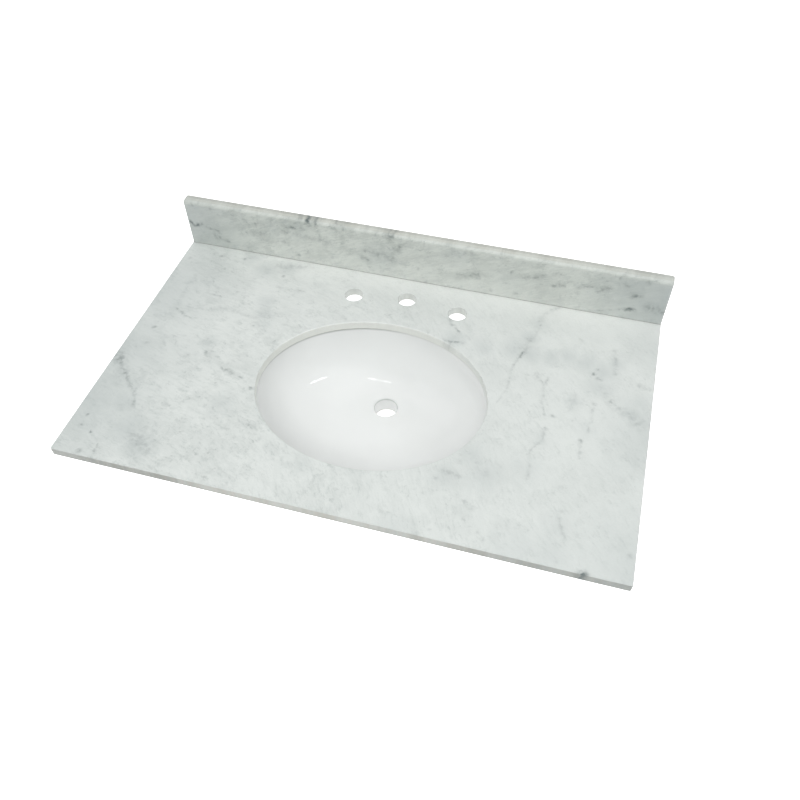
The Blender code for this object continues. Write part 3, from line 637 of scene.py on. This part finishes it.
# the bead lies between the flange and the stone, cut back unevenly on its inside
low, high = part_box("rim_sealant")
half_bead, bead_middle = 0.0095, 0.0145
across, up = bead_section(half_bead, (high.z - low.z) / 2)
cut_back = 0.0007 * (1 + tune(spin, 5)) * (across[:, None] < 0)
reach, level = bead_middle + across[:, None] + cut_back, (low.z + high.z) / 2 + up[:, None]
bead = oval(basin_x + reach, basin_y + reach, basin_mid, level)
skin("rim_bead", bead, "top", sealant, ["rim_sealant"])

# The clips: threaded studs in brass sleeves set in the stone, each with a pressed clip under the
# rim, a washer and a cast wing nut, all zinc plated.


def plated(name, shade, tarnish, roughness):
    """Plated or turned metal: a cloudy sheen with fine scratches and duller blotches."""
    made, place, shader = finish(name, Metallic=1.0)
    cloud, grit = place.noise(180.0, 4.0, 0.6), place.noise(2600.0, 3.0, 0.7)
    colour = place.node("ShaderNodeRGB")
    colour.socket.default_value = tone(*shade)
    colour = colour.tint(tone(*tarnish), cloud.rise(0.4, 0.75) * 0.7)
    feed(shader, Base_Color=colour, Roughness=roughness + cloud.rise(0.35, 0.7) * 0.2 + grit * 0.1)
    sockets = {"Strength": 0.3, "Distance": 0.00006, "Height": grit}
    feed(shader, Normal=place.node("ShaderNodeBump", (), sockets))
    return made


def turned(axis, radius, z, count=32):
    """Rings about a stud's axis, their radius and height given for each ring or each point."""
    turn = np.arange(count) * 2 * np.pi / count
    x, y = axis.x + radius * np.cos(turn), axis.y + radius * np.sin(turn)
    return np.stack(np.broadcast_arrays(x, y, z + 0 * turn), -1)


def threaded(axis, low, high):
    """A stud with a 20 to the inch thread, 0.7 mm deep, and a chamfer at both ends.

    Its radius falls from the crest to the root and back once a pitch, later round the turn.
    """
    pitch, thread, crest, end, sides = 0.00127, 0.0007, 0.003175, 0.0022, 28
    z = np.arange(low, high, 0.00012)[:, None]
    turn = np.arange(sides) / sides
    flank = np.abs((z / pitch - turn) % 1 - 0.5) * 2
    radius = crest - thread * np.clip(flank * 1.25 - 0.125, 0, 1)
    radius = np.minimum(radius, end + np.minimum(z - low, high - z))
    return turned(axis, radius, z, sides)


zinc = plated("zinc_plate", (188, 190, 188), (164, 160, 146), 0.28)
yellow = plated("turned_brass", (206, 172, 104), (168, 134, 82), 0.26)
for corner in ("front_left", "front_right", "back_left", "back_right"):
    low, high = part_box(f"clip_stud_{corner}")
    axis = (low + high) / 2
    stud = threaded(axis, low.z, high.z)
    stands_for = [f"clip_stud_{corner}"]
    skin(f"stud_{corner}", stud, "top", zinc, stands_for, looped=False)
    # a sleeve 10 mm long, ridged outside to grip the stone and threaded inside
    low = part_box(f"anchor_insert_{corner}")[0]
    z = np.linspace(0.0004, 0.0096, 60)[:, None]
    outer, bore = 0.004775 - 0.0002 * (np.sin(z * 4200) > 0), 0.003475 + 0.0001 * np.cos(z * 5000)
    bore[[0, -1]] += 0.0003
    outer[[0, -1]] = 0.0045
    sleeve = np.vstack((outer, [[0.0042], [0.0040]], bore[::-1], [[0.0040], [0.0042]]))
    heights = low.z + np.vstack((z, [[0.01], [0.01]], z[::-1], [[0.0], [0.0]]))
    sleeve, stands_for = turned(axis, sleeve, heights), [f"anchor_insert_{corner}"]
    skin(f"sleeve_{corner}", sleeve, "top", yellow, stands_for)
    low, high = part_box(f"clip_washer_{corner}")
    half_ring, ring_middle = 0.0021, 0.005875
    across, up = bead_section(half_ring, (high.z - low.z) / 2)
    level = (low.z + high.z) / 2 + up[:, None]
    ring = turned(axis, ring_middle + across[:, None], level, 64)
    stands_for = [f"clip_washer_{corner}"]
    skin(f"washer_{corner}", ring, f"clip_{corner}", zinc, stands_for)
    # the clip and the nut start from the solids' own meshes, rounded as pressed and cast metal is
    metal = (("sink_clip", "pressed_clip", "clip"), ("wing_nut", "cast_nut", "nut"))
    for node, name, body in metal:
        shape = bmesh.new()
        shape.from_mesh(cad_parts[f"{node}_{corner}"].data)
        bmesh.ops.remove_doubles(shape, verts=shape.verts[:], dist=0.00001)
        flat, verts, edges = math.radians(1.0), shape.verts[:], shape.edges[:]
        bmesh.ops.dissolve_limit(shape, angle_limit=flat, verts=verts, edges=edges)
        mesh = bpy.data.meshes.new(f"{name}_{corner}")
        shape.to_mesh(mesh)
        shape.free()
        mesh.materials.clear()
        mesh.materials.append(zinc)
        mesh.shade_smooth()
        piece = bpy.data.objects.new(f"{name}_{corner}", mesh)
        bpy.context.scene.collection.objects.link(piece)
        if node == "sink_clip":
            change = piece.modifiers.new("pressed_edges", "BEVEL")
            change.width, change.segments, change.harden_normals = 0.0004, 3, True
            change.limit_method, change.angle_limit = "ANGLE", math.radians(35)
        else:
            change = piece.modifiers.new("cast_skin", "REMESH")
            change.mode, change.voxel_size, change.use_smooth_shade = "VOXEL", 0.00035, True
            change = piece.modifiers.new("cast_edges", "SMOOTH")
            change.factor, change.iterations = 0.5, 6
        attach(piece, f"{body}_{corner}")
        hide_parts(f"{node}_{corner}")

# The floor: a pale sheet far under the top, as in a room. Seen straight, mirrored or through
# glass, it is the plain white that the photograph has behind the top.
floor = bpy.data.objects.new("floor", bpy.data.meshes.new("floor"))
bpy.context.scene.collection.objects.link(floor)
half, drop = 9, -0.86
corners = [(-half, -half, drop), (half, -half, drop), (half, half, drop), (-half, half, drop)]
floor.data.from_pydata(corners, [], [(0, 1, 2, 3)])
pale, place, shader = finish("pale_floor", Roughness=0.8)
shader.inputs["Base Color"].default_value = (0.8, 0.8, 0.8, 1.0)
seen = place.node("ShaderNodeLightPath")
glossy = place.node("ShaderNodeLightPath", take=3)
clear = place.node("ShaderNodeLightPath", take=6)
glow = place.node("ShaderNodeEmission", (), {"Strength": 0.9})
plain = Wire(pale.node_tree, shader.outputs[0])
both = place.node("ShaderNodeAddShader", (), {0: glow, 1: plain})
straight = seen.most(glossy).most(clear)
white = place.node("ShaderNodeMixShader", (), {0: straight, 1: plain, 2: both})
pale.node_tree.links.new(white.socket, pale.node_tree.nodes["Material Output"].inputs["Surface"])
floor.data.materials.append(pale)

# Two soft lamps in a pale room, one over the user and one to the right. The glaze doesn't mirror
# them, but two thin strips of light near them. Each is given by its bearing from the user round to
# the right and its height, in degrees, its distance, width and height in metres, and its watts.
for name, side, height, reach, width, tall, strength, mirrored in (
    ("lamp_user", 0, 54, 4.5, 1.9, 1.3, 81.5, False),
    ("lamp_right", 85, 46, 4.6, 1.8, 1.5, 27.0, False),
    ("strip_user", 2, 51, 4.5, 1.95, 0.16, 14.0, True),
    ("strip_right", 82, 40, 4.5, 1.5, 0.14, 9.5, True),
):
    light = bpy.data.lights.new(name, "AREA")
    light.shape, light.size, light.size_y, light.energy = "RECTANGLE", width, tall, strength
    lamp = bpy.data.objects.new(name, light)
    bpy.context.scene.collection.objects.link(lamp)
    lamp.visible_glossy, lamp.visible_diffuse = mirrored, not mirrored
    turn, lift = math.radians(side), math.radians(height)
    level = math.cos(lift)
    away = Vector((math.sin(turn) * level, -math.cos(turn) * level, math.sin(lift)))
    lamp.location = Vector((0.0, -0.28, 0.0)) + away * reach
    lamp.rotation_euler = away.to_track_quat("Z", "Y").to_euler()
room = bpy.data.worlds.new("room")
bpy.context.scene.world = room
room.use_nodes = True
sky = Wire(room.node_tree).node("ShaderNodeLightPath")
glossy = sky.node("ShaderNodeLightPath", take=3)
rear = sky.vector("DOT_PRODUCT", sky.node("ShaderNodeTexCoord"), (-0.35, 0.94, 0.0), take=1)
back = room.node_tree.nodes["Background"]
back.inputs["Color"].default_value = (1.0, 1.0, 1.0, 1.0)
bright = sky.most(glossy).rise(0.0, 1.0, rear.rise(-1.0, 1.0, 0.345, 0.765), 1.0)
room.node_tree.links.new(bright.socket, back.inputs["Strength"])
bpy.context.scene.view_settings.view_transform = "Standard"
